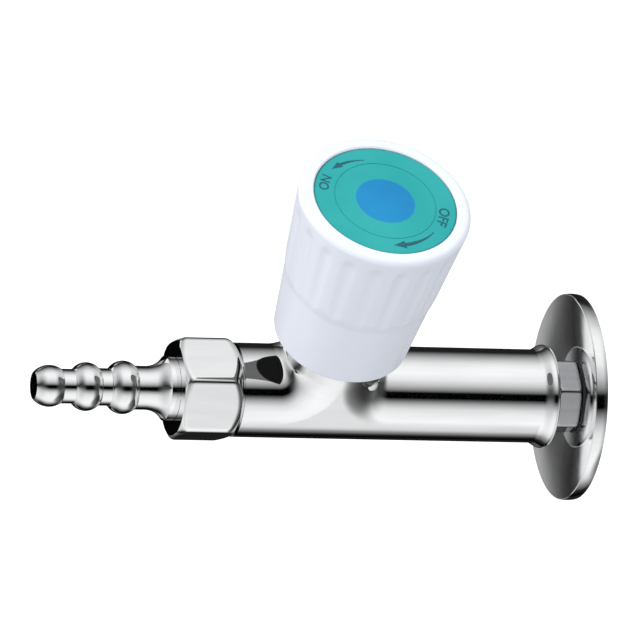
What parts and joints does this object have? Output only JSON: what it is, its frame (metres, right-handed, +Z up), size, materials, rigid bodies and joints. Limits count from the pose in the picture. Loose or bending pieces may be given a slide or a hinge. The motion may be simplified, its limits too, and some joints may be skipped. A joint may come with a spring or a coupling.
{
  "type": "laboratory wall valve",
  "caption": "Chromed laboratory water valve for a wall: straight pipe body with a wall flange, a union nut with an olive hose nozzle, and a ribbed white handle.",
  "frame": {"origin": "on the pipe body's axis, in the wall plane against which the wall flange sits", "axes": "+X into the wall along the pipe, with the hose nozzle towards -X; +Z up along the spindle and the handle"},
  "size_m": [0.1462, 0.052, 0.0946],
  "materials": {
    "chrome": "polished chrome plate",
    "raw_brass": "machined",
    "steel": "plain",
    "black_rubber": "matte",
    "fibre_rubber": "matte",
    "nylon": "plain",
    "handle_white": "semi-gloss moulded",
    "disc_green": "semi-gloss"
  },
  "bodies": {
    "valve": {"hose_nozzle": "chrome", "nozzle_gasket": "fibre_rubber", "union_nut": "chrome", "valve_body": "chrome", "valve_seat": "raw_brass", "nipple_gasket": "fibre_rubber", "wall_nipple": "chrome", "wall_flange": "chrome", "headwork_body": "raw_brass", "headwork_gasket": "fibre_rubber"},
    "handle": {"spindle": "raw_brass", "upper_oring": "black_rubber", "lower_oring": "black_rubber", "thrust_washer": "nylon", "retaining_ring": "steel", "handle": "handle_white", "handle_insert": "raw_brass", "handle_screw": "steel", "index_disc": "disc_green"},
    "piston": {"piston": "raw_brass", "piston_oring": "black_rubber", "seat_washer": "black_rubber", "washer_screw": "raw_brass"}
  },
  "joints": [
    {"name": "handle_turn", "type": "hinge", "parent": "valve", "child": "handle", "pos_m": [-0.06685, 0, 0.03], "axis": [0, 0, 1], "range_deg": [0, 540]},
    {"name": "piston_lift", "type": "slide", "parent": "valve", "child": "piston", "axis": [0, 0, 1], "range_m": [0, 0.00225]}
  ],
  "couplings": [
    {"joint": "piston_lift", "follows": "handle_turn", "m_per_rad": 0.00023873}
  ]
}
